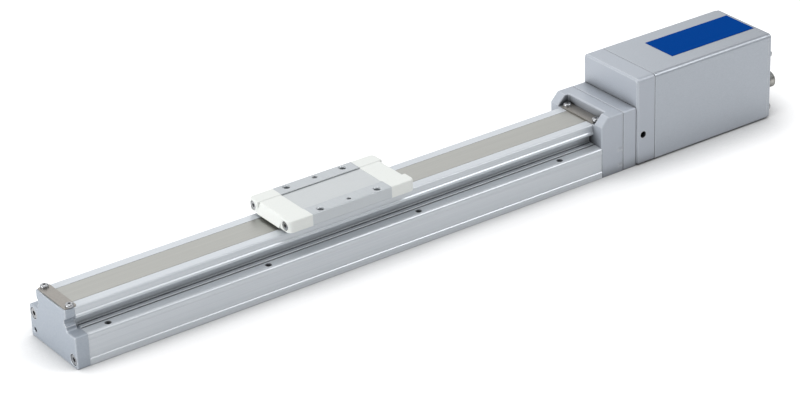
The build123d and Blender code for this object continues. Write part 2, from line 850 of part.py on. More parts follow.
def make_connector(y, z):
    """Round panel connector: hexagon collar, barrel with an open front, and an insert inside."""
    barrel_end = x_rear + connector_reach
    bore = connector_diameter - 2.6
    shell = rod_x(x_rear, barrel_end, connector_diameter, y, z)
    shell = chamfer(shell.edges().group_by(Axis.X)[-1], 0.5)
    shell += Pos(x_rear + 1.6, y, z) * Rot(0, 90, 0) * hexagon(14.0, 1.6)
    shell += rod_x(x_cover_end - 4.0, x_rear + 0.01, connector_diameter - 1.0, y, z)
    shell -= rod_x(x_rear, barrel_end + 1, bore, y, z)
    insert = rod_x(x_rear, barrel_end - 1.0, bore - 1.2, y, z)
    for angle in (45, 135, 225, 315):
        pin_y = y + 2.5 * cos(radians(angle))
        pin_z = z + 2.5 * cos(radians(angle - 90))
        insert -= rod_x(barrel_end - 4.0, barrel_end, 1.1, pin_y, pin_z)
    return shell, insert


def make_label():
    x1 = x_cover_end - label_from_rear
    z0 = motor_end_height
    y0 = label_shift - label_width / 2
    return block(x1 - label_length, x1, y0, y0 + label_width, z0, z0 + label_thickness)


x_board_start = x_flange_end + 6.0


def make_board():
    """Controller board with its larger parts on the under side."""
    x1 = x_board_start + board_length
    half = board_width / 2
    board = block(x_board_start, x1, -half, half, board_height, board_height + board_thickness)
    for n in range(3):
        x = x1 - capacitor_pitch * (n + 1)
        board += rod_z(x, capacitor_pitch, board_height - capacitor_height, board_height, capacitor_diameter)
    x_chip = x_board_start + driver_chip_size / 2
    half_chip = driver_chip_size / 2
    z_chip = board_height - driver_chip_height
    board += block(x_chip, x_chip + driver_chip_size, -half_chip, half_chip, z_chip, board_height)
    y_socket = -half + board_thickness
    z_socket = board_height - socket_height
    board += block(x1 - 1.5 * socket_width, x1 - 0.2 * socket_width, y_socket, y_socket + socket_width,
                   z_socket, board_height)
    return board


def standoff_places():
    """Corners of the board, set in by half a standoff."""
    x1 = x_board_start + board_length
    half = board_width / 2 - 4.0
    return [(x, y) for x in (x_board_start + 4.0, x1 - 4.0) for y in (-half, half)]


def make_standoffs():
    z0 = board_height + board_thickness
    z1 = motor_end_height - cover_wall
    return [rod_z(x, y, z0, z1, 5.0) for x, y in standoff_places()]


# Motor

def motor_frame(x0, x1):
    """Square motor section with cut corners."""
    half = motor_width / 2
    square = block(x0, x1, -half, half, axis - half, axis + half)
    return chamfer(square.edges().filter_by(Axis.X), 3.6)


x_bell_end = x_flange_end + motor_bell_length
x_stator_end = x_flange_end + motor_length - motor_bell_length
x_motor_end = x_flange_end + motor_length


def make_front_bell():
    bell = motor_frame(x_flange_end, x_bell_end)
    bell += rod_x(x_flange_end - motor_pilot_height + 0.1, x_flange_end + 0.1, motor_pilot_diameter, 0, axis)
    bell -= rod_x(x_flange_end + 3.0, x_bell_end + 1, rotor_diameter + 2, 0, axis)
    bore = motor_shaft_diameter + 2 * running_gap
    bell -= rod_x(x_flange_end - motor_pilot_height - 1, x_bell_end, bore, 0, axis)
    for y, z in motor_screw_places():
        bell -= rod_x(x_flange_end - 1, x_flange_end + motor_screw_bite + tap_spare, 3.0, y, z)
    return bell


def make_stator():
    return motor_frame(x_bell_end, x_stator_end) - rod_x(
        x_bell_end - 1, x_stator_end + 1, rotor_diameter + 1.0, 0, axis
    )


def make_rear_bell():
    bell = motor_frame(x_stator_end, x_motor_end)
    bell -= rod_x(x_stator_end - 1, x_motor_end - 3.0, rotor_diameter + 2, 0, axis)
    bell -= rod_x(x_stator_end, x_motor_end + 1, motor_shaft_diameter + 2 * running_gap, 0, axis)
    return bell


x_hub_start = x_block_end + retainer_thickness + 1.0
x_hub_end = x_hub_start + 2 * coupling_hub_length + coupling_gap


def make_rotor():
    """Motor shaft with the rotor stack on it."""
    shaft = rod_x(x_hub_end - coupling_hub_length + 0.6, x_motor_end + 4.0, motor_shaft_diameter, 0, axis)
    return shaft + rod_x(x_flange_end + 4.0, x_motor_end - 4.0, rotor_diameter, 0, axis)


def make_encoder_magnet():
    return rod_x(x_motor_end + 4.0, x_motor_end + 6.5, motor_shaft_diameter + 3, 0, axis)


def make_encoder_board():
    """Sensor board on two feet that stand on the motor's rear bell."""
    half = 14.0
    board = block(x_motor_end + 8.0, x_motor_end + 9.6, -half, half, axis - half, axis + half)
    for y, z in ((-half + 3, axis - half + 3), (half - 3, axis + half - 3)):
        board += rod_x(x_motor_end, x_motor_end + 8.1, 5.0, y, z)
    return board + block(x_motor_end + 7.2, x_motor_end + 8.1, -3, 3, axis - 3, axis + 3)


# Screw shaft, coupling and nut

def make_ball_screw():
    """Screw shaft with its end journal, fixed journal and coupling seat."""
    left = x_plate + spigot_length
    shoulder = x_block_end - 2 * fixed_bearing_width
    shaft = rod_x(left, shoulder, screw_diameter, 0, axis)
    shaft += rod_x(left - end_bearing_width - 2.0, left + 0.1, end_journal_diameter, 0, axis)
    coupling_end = x_hub_start + coupling_hub_length - 0.6
    shaft += rod_x(shoulder - 0.1, coupling_end, fixed_journal_diameter, 0, axis)
    return shaft


def coupling_hub(x0, x1, jaw_side):
    """Coupling hub with three jaws on one face."""
    hub = rod_x(x0, x1, coupling_diameter, 0, axis)
    ring = Circle(coupling_diameter / 2) - Circle(4.8)
    sector = ring & Pos(coupling_diameter / 2, 0) * Rectangle(coupling_diameter, 3.2)
    jaw = extrude(Plane.YZ * sector, amount=coupling_jaw_depth)
    for n in range(3):
        turn = Rot(120 * n + (60 if jaw_side < 0 else 0), 0, 0)
        start = x1 - 0.01 if jaw_side > 0 else x0 - coupling_jaw_depth + 0.01
        hub += Pos(start, 0, axis) * turn * jaw
    return hub


def make_screw_hub():
    hub = coupling_hub(x_hub_start, x_hub_start + coupling_hub_length, 1)
    return hub - rod_x(x_hub_start - 1, x_hub_end, fixed_journal_diameter, 0, axis)


def make_motor_hub():
    hub = coupling_hub(x_hub_end - coupling_hub_length, x_hub_end, -1)
    hub -= rod_x(x_hub_start, x_hub_end + 1, motor_shaft_diameter, 0, axis)
    middle = x_hub_end - coupling_hub_length / 2
    return hub - Pos(middle, -coupling_diameter / 2, axis) * Rot(90, 0, 0) * hexagon(2.5, 8.0)


def make_spider():
    """Elastic star whose six arms fill the space between the jaws."""
    x0 = x_hub_start + coupling_hub_length + 0.2
    x1 = x_hub_end - coupling_hub_length - 0.2
    star = rod_x(x0, x1, 8.4, 0, axis)
    arm = block(0, x1 - x0, 0, coupling_diameter / 2 - 0.5, -0.7, 0.7)
    for n in range(6):
        star += Pos(x0, 0, axis) * Rot(30 + 60 * n, 0, 0) * arm
    return star


def make_lock_nut():
    """Round nut that clamps the bearings' inner rings, slotted for a pin wrench."""
    x0 = x_block_end
    x1 = x_block_end + retainer_thickness
    nut = rod_x(x0, x1, fixed_journal_diameter + 3.4, 0, axis)
    return nut - rod_x(x0 - 1, x1 + 1, fixed_journal_diameter, 0, axis)


x_nut_seat = table_rest + carriage_right


def nut_screw_places():
    """Four small screws round the nut, kept inside the shaft way."""
    rises = (-nut_screw_rise, nut_screw_rise)
    return [(y, axis + z) for y in (-nut_screw_y, nut_screw_y) for z in rises]


def make_ball_nut():
    """Nut body with a narrow flange; its bore clears the screw by the running gap."""
    nut = rod_x(x_nut_seat - nut_length, x_nut_seat + 0.1, nut_diameter, 0, axis)
    half_w = nut_flange_width / 2
    half_h = nut_flange_height / 2
    x1 = x_nut_seat + nut_flange_thickness
    flange = block(x_nut_seat, x1, -half_w, half_w, axis - half_h, axis + half_h)
    nut += chamfer(flange.edges().filter_by(Axis.X), 1.6)
    bore_ends = (x_nut_seat - nut_length - 1, x_nut_seat + nut_flange_thickness + 1)
    nut -= rod_x(*bore_ends, screw_diameter + 2 * running_gap, 0, axis)
    for y, z in nut_screw_places():
        nut -= rod_x(x_nut_seat - 1, x_nut_seat + nut_flange_thickness + 1, 2.5, y, z)
    return nut


def make_nut_screws():
    seat = x_nut_seat + nut_flange_thickness
    screw = cap_screw(2.5, nut_flange_thickness + nut_screw_bite)
    return [facing("+X", seat, y, z) * screw for y, z in nut_screw_places()]


# Bumpers at both ends of the shaft way

def make_bumpers():
    """Rubber rings that the carriage meets just past the end of its travel."""
    head_height = SCREW_HEADS[2.5][1]
    left_stop = table_rest - travel - carriage_left - 1.0
    right_stop = table_rest + travel + carriage_right + nut_flange_thickness + head_height + 1.0
    spans = ((x_plate + spigot_length, left_stop), (right_stop, x_rail_end - spigot_length))
    return [
        rod_x(a, b, bumper_diameter, 0, axis) - rod_x(a - 1, b + 1, bumper_bore, 0, axis) for a, b in spans
    ]


# Carriage and guide blocks

def guide_block_starts():
    """Where the two guide blocks begin along X, one at each end of the carriage."""
    return (table_rest - carriage_left, table_rest + carriage_right - guide_block_length)


def guide_block_screw_places():
    """Four countersunk screws in each guide block."""
    half = guide_block_width / 2 - guide_block_screw_from_side
    inset = guide_block_screw_from_end
    return [
        (start + dx, y)
        for start in guide_block_starts()
        for dx in (inset, guide_block_length - inset)
        for y in (-half, half)
    ]


def carriage_screw_places():
    """Four countersunk screws that hold the table block on the carriage."""
    half_length = carriage_top_length / 2 - carriage_screw_from_end
    half_width = half_slot - carriage_screw_from_side
    return [(table_rest + x, y) for x in (-half_length, half_length) for y in (-half_width, half_width)]


def make_carriage():
    """Block that stands on the guide blocks, holds the nut and reaches up through the slot."""
    low = prism_x(
        both_sides([
            (guide_block_width / 2, block_top, 0.4),
            (guide_block_width / 2, carriage_shoulder, 0.4),
            (half_way - hair_gap, carriage_shoulder, 0),
            (half_way - hair_gap, way_top - hair_gap, 1.0),
        ]),
        table_rest - carriage_left,
        table_rest + carriage_right,
    )
    half = carriage_top_length / 2
    neck = half_slot - hair_gap
    low += block(table_rest - half, table_rest + half, -neck, neck, way_top - 1.0, table_bottom)
    low -= rod_x(x_nut_seat - nut_length, x_nut_seat + 1, nut_diameter, 0, axis)
    low -= rod_x(table_rest - carriage_left - 1, x_nut_seat, screw_diameter + 2.0, 0, axis)
    for y, z in nut_screw_places():
        low -= rod_x(x_nut_seat - nut_screw_bite - tap_spare, x_nut_seat + 1, 2.5, y, z)
    shoulder_depth = carriage_shoulder - block_top
    for x, y in guide_block_screw_places():
        low -= Pos(x, y, carriage_shoulder) * flat_screw_hole(3.0, shoulder_depth + tap_spare)
    for x, y in carriage_screw_places():
        low -= rod_z(x, y, table_bottom - carriage_screw_bite - tap_spare, table_bottom + 1, 3.0)
    return low


def guide_block_section():
    """Block that straddles the guide rail and reaches into its side grooves."""
    half = guide_block_width / 2
    inner = guide_width / 2 + hair_gap
    bottom = floor_thickness + guide_block_lift
    middle = floor_thickness + guide_height * 0.66
    return both_sides([
        (inner, bottom, 0),
        (half, bottom, 0.6),
        (half, block_top, 0.6),
    ]) - both_sides([
        (inner, bottom - 1, 0),
        (inner, middle - 1.2, 0),
        (inner - 0.6, middle - 0.5, 0),
        (inner - 0.6, middle + 0.5, 0),
        (inner, middle + 1.2, 0),
        (inner, guide_top + hair_gap, 0.5),
    ])


def make_guide_blocks():
    blocks = []
    for start in guide_block_starts():
        body = prism_x(guide_block_section(), start, start + guide_block_length)
        for x, y in guide_block_screw_places():
            if start < x < start + guide_block_length:
                body -= rod_z(x, y, block_top - guide_block_screw_bite - 0.5, block_top + 1, 3.0)
        blocks.append(body)
    return blocks


def make_guide_block_screws():
    length = carriage_shoulder - block_top + guide_block_screw_bite
    screw = flat_screw(3.0, length)
    return [Pos(x, y, carriage_shoulder) * screw for x, y in guide_block_screw_places()]


# Table block with its panel

def table_hole_places():
    """Centres of the four threaded holes for the payload."""
    half_x = table_hole_spacing_x / 2
    half_y = table_hole_spacing_y / 2
    return [(table_rest + x, y) for x in (-half_x, half_x) for y in (-half_y, half_y)]


half_panel = table_width / 2 - strip_width
panel_floor = table_height - strip_step - panel_thickness


def make_table_block():
    """Aluminium table: a floor over the carriage, two walls with raised strips, a channel between."""
    half = table_width / 2
    way = band_way_width / 2
    floor_top = table_bottom + table_floor
    section = outline([
        (-half, table_bottom, 0.5),
        (half, table_bottom, 0.5),
        (half, table_height, 0.7),
        (half_panel, table_height, 0.2),
        (half_panel, panel_floor, 0),
        (way, panel_floor, 0),
        (way, floor_top, 0.5),
        (-way, floor_top, 0.5),
        (-way, panel_floor, 0),
        (-half_panel, panel_floor, 0),
        (-half_panel, table_height, 0.2),
        (-half, table_height, 0.7),
    ])
    x0 = table_rest - table_block_length / 2
    x1 = table_rest + table_block_length / 2
    body = prism_x(section, x0, x1)
    for x, y in table_hole_places():
        body -= rod_z(x, y, table_bottom + table_thread_floor, table_height + 1, table_thread_bore)
        mouth = Cone(table_thread_bore / 2, table_thread_bore / 2 + table_thread_mouth, table_thread_mouth)
        body -= Pos(x, y, table_height - table_thread_mouth / 2) * mouth
    pin_bottom = table_height - table_pin_depth
    half_y = table_hole_spacing_y / 2
    body -= rod_z(table_rest, -half_y, pin_bottom, table_height + 1, table_pin_diameter)
    body -= slot_z(table_rest, half_y, pin_bottom, table_height + 1, table_pin_diameter, table_slot_length)
    for x, y in carriage_screw_places():
        body -= Pos(x, y, floor_top) * flat_screw_hole(3.0, table_floor + 1)
    for y in (-cap_screw_y, cap_screw_y):
        body -= rod_x(x0 - 1, x0 + cap_screw_bite + tap_spare, 3.0, y, cap_screw_height)
        body -= rod_x(x1 - cap_screw_bite - tap_spare, x1 + 1, 3.0, y, cap_screw_height)
    return body


def make_carriage_screws():
    floor_top = table_bottom + table_floor
    screw = flat_screw(3.0, table_floor + carriage_screw_bite)
    return [Pos(x, y, floor_top) * screw for x, y in carriage_screw_places()]


def make_panel():
    half_length = table_block_length / 2
    plate = block(
        table_rest - half_length, table_rest + half_length,
        -half_panel + panel_side_gap, half_panel - panel_side_gap,
        panel_floor, panel_floor + panel_thickness,
    )
    return plate


# Table end caps, drawn for the motor side about the table's middle

def make_cap():
    """Resin cap: two corner bosses beside a sloping nose, hollow under its roof for the band."""
    seam = table_block_length / 2
    half = table_width / 2
    boss_end = seam + cap_length
    nose_top = table_height - cap_step
    nose = prism_y(
        outline([
            (seam, table_bottom, 0),
            (seam + cap_lip, table_bottom, 0.4),
            (seam + cap_slope_top, nose_top, 0.8),
            (seam, nose_top, 0),
        ]),
        half_panel,
    )
    bosses = Pos(0, 0, table_bottom) * extrude(
        outline([
            (seam, half_panel - 0.01, 0),
            (boss_end, half_panel - 0.01, 0.8),
            (boss_end, half, cap_corner_radius),
            (seam, half, 0),
        ]),
        amount=table_height - table_bottom,
    )
    top_edges = bosses.faces().sort_by(Axis.Z)[-1].edges().filter_by(
        lambda edge: edge.center().X > seam + 0.1 and edge.center().Y > half_panel + 0.1
    )
    bosses = fillet(top_edges, 0.7)
    cap = nose + bosses + mirror(bosses, Plane.XZ)
    way = band_way_width / 2
    channel = prism_y(
        outline([
            (seam - 1, table_bottom - 1, 0),
            (seam + cap_lip - 1.8, table_bottom - 1, 0),
            (seam + cap_lip - 1.8, table_bottom + 1.0, 0),
            (seam + 5.0, panel_floor - 0.8, 6.0),
            (seam - 1, panel_floor - 0.8, 0),
        ]),
        way,
    )
    cap -= channel
    for y in (-cap_screw_y, cap_screw_y):
        cap -= counterbore_x(3.0, boss_end - m3_pocket, y, cap_screw_height, boss_end + 1, seam - 1)
    return cap


def table_ends(motor_side):
    """A piece drawn for the motor side and its mirror image, both moved to the table's place."""
    return [Pos(table_rest, 0, 0) * mirror(motor_side, Plane.YZ), Pos(table_rest, 0, 0) * motor_side]


def make_cap_screws():
    seat = table_block_length / 2 + cap_length - m3_pocket
    screw = cap_screw(3.0, cap_length - m3_pocket + cap_screw_bite)
    screws = []
    for side, direction in ((-1, "-X"), (1, "+X")):
        for y in (-cap_screw_y, cap_screw_y):
            place = facing(direction, table_rest + side * seat, y, cap_screw_height)
            screws.append(place * screw)
    return screws


def make_band_guide():
    """Wedge under the rising part of the band, held between the cap's walls."""
    seam = table_block_length / 2
    crest = recess_floor + band_lift - hair_gap
    wedge = outline([
        (seam + 0.2, table_bottom + 0.2, 0),
        (seam + 7.4, table_bottom + 0.2, 0.3),
        (seam + 2.2, crest, 4.0),
        (seam + 0.2, crest, 0),
    ])
    return prism_y(wedge, band_way_width / 2)


def make_wiper():
    """Felt strip in the cap's lip that wipes the band."""
    seam = table_block_length / 2
    x1 = seam + cap_lip - 1.8
    half = band_way_width / 2
    return block(x1 - 2.4, x1, -half, half, rail_height + hair_gap, table_bottom + 1.0)


# Write every node

save("rail", make_rail())
save("band_magnet_strips", *make_magnet_strips())
save("guide_rail", make_guide_rail())
save("guide_rail_screws", *make_guide_screws())
save("end_plate", make_end_plate())
save("end_plate_screws", *make_end_plate_screws())
save("end_bearing", make_end_bearing())
save("seal_band", make_seal_band())
save("band_stopper_left", make_stopper(x_stopper_left))
save("band_stopper_right", make_stopper(x_stopper_right))
save("band_stopper_screws", *make_stopper_screws())
save("bearing_block", make_bearing_block())
save("rail_to_block_screws", *make_rail_screws())
save("fixed_bearings", *make_fixed_bearings())
save("bearing_retainer", make_retainer())
save("bearing_retainer_screws", *make_retainer_screws())
save("coupling_housing", make_coupling_housing())
save("motor_flange", make_motor_flange())
save("housing_screws", *make_housing_screws())
save("motor_screws", *make_motor_screws())
save("motor_cover", make_cover())
save("rear_cover", make_rear_cover())
save("tie_screws", *make_tie_screws())
connectors = [make_connector(y, z) for y, z in connector_places()]
save("power_connector", connectors[0][0])
save("signal_connector", connectors[1][0])
save("connector_inserts", *[insert for _, insert in connectors])
save("label_panel", make_label())
save("controller_board", make_board())
save("board_standoffs", *make_standoffs())
save("motor_front_bell", make_front_bell())
save("motor_stator", make_stator())
save("motor_rear_bell", make_rear_bell())
save("motor_rotor", make_rotor())
save("encoder_magnet", make_encoder_magnet())
save("encoder_board", make_encoder_board())
save("ball_screw", make_ball_screw())
save("coupling_screw_hub", make_screw_hub())
save("coupling_spider", make_spider())
save("coupling_motor_hub", make_motor_hub())
save("bearing_lock_nut", make_lock_nut())
save("ball_nut", make_ball_nut())
save("ball_nut_screws", *make_nut_screws())
save("stroke_bumpers", *make_bumpers())
save("carriage", make_carriage())
save("guide_blocks", *make_guide_blocks())
save("guide_block_screws", *make_guide_block_screws())
save("table_block", make_table_block())
save("carriage_screws", *make_carriage_screws())
save("table_panel", make_panel())
cap_left, cap_right = table_ends(make_cap())
save("table_cap_left", cap_left)
save("table_cap_right", cap_right)
save("table_cap_screws", *make_cap_screws())
save("band_guides", *table_ends(make_band_guide()))
save("band_wipers", *table_ends(make_wiper()))
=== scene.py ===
import math

import bpy
import numpy as np
from mathutils import Matrix, Vector


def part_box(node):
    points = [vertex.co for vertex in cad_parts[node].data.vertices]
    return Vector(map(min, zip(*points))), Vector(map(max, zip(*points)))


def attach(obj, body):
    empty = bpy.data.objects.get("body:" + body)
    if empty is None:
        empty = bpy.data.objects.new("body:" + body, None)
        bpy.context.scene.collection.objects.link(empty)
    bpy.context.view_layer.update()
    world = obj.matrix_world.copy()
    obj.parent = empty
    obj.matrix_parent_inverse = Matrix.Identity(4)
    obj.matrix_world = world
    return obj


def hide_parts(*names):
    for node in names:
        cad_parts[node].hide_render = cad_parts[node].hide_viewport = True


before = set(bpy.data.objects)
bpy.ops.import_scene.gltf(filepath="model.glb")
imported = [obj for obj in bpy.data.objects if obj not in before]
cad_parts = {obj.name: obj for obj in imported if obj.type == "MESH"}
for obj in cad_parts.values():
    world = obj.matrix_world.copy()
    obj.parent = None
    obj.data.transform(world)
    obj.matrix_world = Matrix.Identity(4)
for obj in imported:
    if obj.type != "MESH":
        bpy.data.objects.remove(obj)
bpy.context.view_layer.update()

MM = 0.001

# Places taken from the solids

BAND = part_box("seal_band")
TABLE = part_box("table_block")
SCREW_Z = 23.0 * MM


# Small tools

def add(tree, kind, settings=None, **links):
    """Adds a node with its settings, and sets or links its sockets, given by name or as i0, i1 and so on."""
    node = tree.nodes.new(kind)
    for key, value in (settings or {}).items():
        setattr(node, key, value)
    for key, value in links.items():
        by_number = key[0] == "i" and key[1:].isdigit()
        socket = node.inputs[int(key[1:]) if by_number else key.replace("_", " ")]
        if isinstance(value, bpy.types.NodeSocket):
            tree.links.new(value, socket)
        else:
            socket.default_value = value
    return node


def linear(code):
    """Linear colour of an sRGB hex code."""
    channels = [int(code[i:i + 2], 16) / 255 for i in (0, 2, 4)]
    return [c / 12.92 if c <= 0.04045 else ((c + 0.055) / 1.055) ** 2.4 for c in channels] + [1.0]


def start(name):
    """New material with its shader and object coordinates."""
    material = bpy.data.materials.new(name)
    material.use_nodes = True
    tree = material.node_tree
    shader = tree.nodes["Principled BSDF"]
    place = add(tree, "ShaderNodeTexCoord").outputs["Object"]
    return material, tree, shader, place


def speckle(tree, place, size_mm, stretch=(1, 1, 1), detail=3.0):
    """Noise whose grains measure size_mm, drawn out along an axis by a stretch below one."""
    scale = [1000.0 / size_mm * s for s in stretch]
    mapped = add(tree, "ShaderNodeMapping", Vector=place, Scale=scale).outputs[0]
    return add(tree, "ShaderNodeTexNoise", Vector=mapped, Scale=1.0, Detail=detail).outputs["Fac"]


def tint(tree, shader, pattern, dark, light, low=0.3, high=0.7):
    """Colour that goes from dark to light with a pattern."""
    ramp = add(tree, "ShaderNodeValToRGB", Fac=pattern)
    ramp.color_ramp.elements[0].position = low
    ramp.color_ramp.elements[0].color = linear(dark)
    ramp.color_ramp.elements[1].position = high
    ramp.color_ramp.elements[1].color = linear(light)
    tree.links.new(ramp.outputs["Color"], shader.inputs["Base Color"])


def sheen_of(tree, shader, pattern, low, high):
    """Roughness that goes from low to high with a pattern."""
    span = add(tree, "ShaderNodeMapRange", Value=pattern, To_Min=low, To_Max=high).outputs[0]
    tree.links.new(span, shader.inputs["Roughness"])


SHADER_SAMPLES = 6
# Near-white colour and share of the painted edge highlight that is mixed into broken edges
EDGE_HIGHLIGHT_COLOUR = "f6f7f8"
EDGE_HIGHLIGHT_SHARE = 0.75
# Cosine between the rounded and the flat normal: painted edge highlight in full below the first, none above
# the second
FULL_EDGE_HIGHLIGHT, NO_EDGE_HIGHLIGHT = 0.78, 0.99
# Share of the sky that a point sees, for the painted recess shade: darkest below the first, not darkened
# above the second
HIDDEN, OPEN = 0.25, 0.8


def relief(tree, shader, pattern, depth_mm, strength=1.0, broken_edge_mm=0.0):
    """Bump of a real depth, over edges that are broken by a small rounding and painted brighter there, a
    painted edge highlight.
    """
    bump = add(tree, "ShaderNodeBump", Height=pattern, Strength=strength, Distance=depth_mm * MM)
    tree.links.new(bump.outputs[0], shader.inputs["Normal"])
    if not broken_edge_mm:
        return
    rounding = add(
        tree, "ShaderNodeBevel", {"samples": SHADER_SAMPLES}, Radius=broken_edge_mm * MM
    ).outputs[0]
    tree.links.new(rounding, bump.inputs["Normal"])
    flat = add(tree, "ShaderNodeNewGeometry").outputs["True Normal"]
    turned = add(
        tree, "ShaderNodeVectorMath", {"operation": "DOT_PRODUCT"}, i0=rounding, i1=flat
    ).outputs["Value"]
    edge = add(
        tree, "ShaderNodeMapRange", Value=turned,
        From_Min=FULL_EDGE_HIGHLIGHT, From_Max=NO_EDGE_HIGHLIGHT, To_Min=EDGE_HIGHLIGHT_SHARE, To_Max=0.0,
    ).outputs[0]
    # Painted highlight: the colour is mixed towards near-white along every broken edge, where light would
    # catch it
    colour = shader.inputs["Base Color"].links[0].from_socket
    highlighted = add(
        tree, "ShaderNodeMixRGB", Fac=edge, Color1=colour, Color2=linear(EDGE_HIGHLIGHT_COLOUR)
    ).outputs[0]
    tree.links.new(highlighted, shader.inputs["Base Color"])


def darken(tree, shader, share):
    """Multiplies the colour that a shader has so far by a share."""
    colour = shader.inputs["Base Color"].links[0].from_socket
    darker = add(
        tree, "ShaderNodeVectorMath", {"operation": "SCALE"}, i0=colour, Scale=share
    ).outputs[0]
    tree.links.new(darker, shader.inputs["Base Color"])


def paint_recess_shade(tree, shader, reach_mm, deepest, own_shape_only=True):
    """Painted shade: darkens the colour of what lies deep between walls nearer than reach_mm, such as bores,
    grooves and seams.
    """
    open_share = add(
        tree, "ShaderNodeAmbientOcclusion", {"samples": SHADER_SAMPLES, "only_local": own_shape_only},
        Distance=reach_mm * MM,
    ).outputs["AO"]
    shade = add(
        tree, "ShaderNodeMapRange", Value=open_share, From_Min=HIDDEN, From_Max=OPEN, To_Min=deepest
    ).outputs[0]
    darken(tree, shader, shade)


def plain(shader, metallic, ior=None):
    """Sets how metallic a shader is and, where it isn't a metal, its index of refraction."""
    shader.inputs["Metallic"].default_value = metallic
    if ior:
        shader.inputs["IOR"].default_value = ior


# Finishes

def extruded_anodised_aluminium():
    """Silver anodised extrusion: etched satin with faint die lines along the rail."""
    material, tree, shader, place = start("extruded anodised aluminium")
    plain(shader, 0.45)
    lines = speckle(tree, place, 0.6, (0.004, 1, 1))
    tint(tree, shader, lines, "c8cdd2", "d2d6da")
    sheen_of(tree, shader, lines, 0.32, 0.4)
    relief(tree, shader, lines, 0.01, 0.25)
    paint_recess_shade(tree, shader, 5.0, 0.01)
    return material


def painted_die_casting():
    """Aluminium casting under silver paint: soft, slightly pebbled, without lines."""
    material, tree, shader, place = start("silver painted die casting")
    plain(shader, 0.5)
    pebble = speckle(tree, place, 0.9)
    tint(tree, shader, pebble, "a5adb7", "b0b7bf")
    sheen_of(tree, shader, pebble, 0.42, 0.52)
    relief(tree, shader, pebble, 0.03, 0.35, 1.1)
    paint_recess_shade(tree, shader, 4.0, 0.15)
    return material


def bead_blasted_anodised_aluminium():
    """Machined blocks blasted with fine beads and anodised: an even matt grain."""
    material, tree, shader, place = start("bead blasted anodised aluminium")
    plain(shader, 0.4)
    grain = speckle(tree, place, 0.35)
    tint(tree, shader, grain, "b4bac2", "bec3cb")
    sheen_of(tree, shader, grain, 0.42, 0.52)
    relief(tree, shader, grain, 0.012, 0.3, 1.3)
    paint_recess_shade(tree, shader, 14.0, 0.05, False)
    return material


def drawn_cover_aluminium():
    """Extruded cover, blasted and anodised: matt with very faint lines along it."""
    material, tree, shader, place = start("drawn and blasted cover aluminium")
    plain(shader, 0.65)
    grain = speckle(tree, place, 0.4, (0.3, 1, 1))
    tint(tree, shader, grain, "b1b7be", "babfc6")
    sheen_of(tree, shader, grain, 0.34, 0.44)
    relief(tree, shader, grain, 0.01, 0.25, 0.8)
    paint_recess_shade(tree, shader, 3.0, 0.05, False)
    return material


def milled_table_aluminium():
    """Table block milled and anodised pale: fine cutter lines across the travel."""
    material, tree, shader, place = start("milled anodised table aluminium")
    plain(shader, 0.6)
    lines = speckle(tree, place, 0.5, (1, 0.02, 1))
    tint(tree, shader, lines, "bbc0c3", "c5c9cc")
    sheen_of(tree, shader, lines, 0.36, 0.46)
    relief(tree, shader, lines, 0.008, 0.2, 0.6)
    paint_recess_shade(tree, shader, 1.5, 0.3)
    return material


def brushed_panel_aluminium():
    """Thin panel brushed along the travel and clear anodised."""
    material, tree, shader, place = start("brushed panel aluminium")
    plain(shader, 0.5)
    lines = speckle(tree, place, 0.3, (0.02, 1, 1))
    tint(tree, shader, lines, "c6cacb", "ced1d2")
    sheen_of(tree, shader, lines, 0.38, 0.48)
    relief(tree, shader, lines, 0.006, 0.2)
    return material


def machined_carriage_aluminium():
    """Bare milled aluminium of the inner carriage."""
    material, tree, shader, place = start("machined carriage aluminium")
    plain(shader, 1.0)
    lines = speckle(tree, place, 0.6, (1, 0.03, 1))
    tint(tree, shader, lines, "b9bbbe", "cdced1")
    sheen_of(tree, shader, lines, 0.28, 0.4)
    return material


def moulded_white_resin():
    """Glass-filled nylon caps, moulded off-white with a fine spark-eroded matt."""
    material, tree, shader, place = start("moulded white resin")
    plain(shader, 0.0, 1.53)
    grain = speckle(tree, place, 0.45)
    tint(tree, shader, grain, "e3e6e2", "ebede9")
    sheen_of(tree, shader, grain, 0.5, 0.62)
    relief(tree, shader, grain, 0.012, 0.3, 0.3)
    return material


def rolled_stainless_band():
    """Thin rolled stainless strip: smooth, with lines from the rolls along it."""
    material, tree, shader, place = start("rolled stainless band")
    plain(shader, 1.0)
    lines = speckle(tree, place, 0.4, (0.003, 1, 1))
    tint(tree, shader, lines, "a5a5a1", "b0b0ab")
    sheen_of(tree, shader, lines, 0.3, 0.4)
    return material


def plated_stopper_steel():
    """Pressed steel plates with a dull brown-grey plating."""
    material, tree, shader, place = start("dull plated pressed steel")
    plain(shader, 0.9)
    mottle = speckle(tree, place, 1.2)
    tint(tree, shader, mottle, "96928d", "a39f99")
    sheen_of(tree, shader, mottle, 0.34, 0.46)
    return material


def zinc_plated_steel():
    """Cap screws with bright zinc plating."""
    material, tree, shader, place = start("zinc plated screw steel")
    plain(shader, 1.0)
    mottle = speckle(tree, place, 0.7)
    tint(tree, shader, mottle, "a5a7a9", "bcbdbf")
    sheen_of(tree, shader, mottle, 0.24, 0.36)
    return material


def ground_bearing_steel():
    """Hardened bearing steel, ground fine and oiled."""
    material, tree, shader, place = start("ground bearing steel")
    plain(shader, 1.0)
    lines = speckle(tree, place, 0.3, (0.01, 1, 1))
    tint(tree, shader, lines, "b4b5b7", "c4c5c7")
    sheen_of(tree, shader, lines, 0.14, 0.24)
    return material


def turned_hub_aluminium():
    """Coupling hubs turned from bar: fine rings round the axis."""
    material, tree, shader, place = start("turned hub aluminium")
    plain(shader, 1.0)
    rings = speckle(tree, place, 0.3, (1, 0.05, 0.05))
    tint(tree, shader, rings, "c2c3c6", "d2d3d5")
    sheen_of(tree, shader, rings, 0.22, 0.34)
    return material


